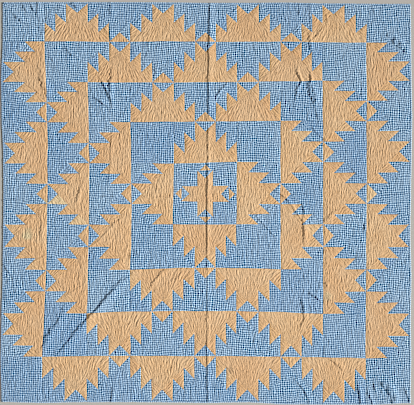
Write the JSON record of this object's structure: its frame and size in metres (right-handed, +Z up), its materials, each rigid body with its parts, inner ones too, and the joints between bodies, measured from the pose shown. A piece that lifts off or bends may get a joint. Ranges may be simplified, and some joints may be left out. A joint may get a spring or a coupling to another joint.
{
  "type": "patchwork quilt",
  "caption": "Square cotton patchwork quilt lying flat, with rings of saw-toothed mountain patches on a checked ground, close hand quilting, storage creases and a narrow binding.",
  "frame": {"origin": "under the middle of the quilt's outline, on the surface that it lies on", "axes": "+X towards the quilt's right edge and +Y towards its top edge as seen from above, +Z up out of the patchwork"},
  "size_m": [2.0832, 2.0374, 0.0104],
  "materials": {
    "quilt_cloth": "matte woven cotton, small blue and white check with tan patches",
    "binding_cloth": "matte woven cotton, faded blue"
  },
  "bodies": {
    "root": {"quilt_body": "quilt_cloth", "binding_top": "binding_cloth", "binding_bottom": "binding_cloth", "binding_left": "binding_cloth", "binding_right": "binding_cloth"}
  },
  "joints": []
}
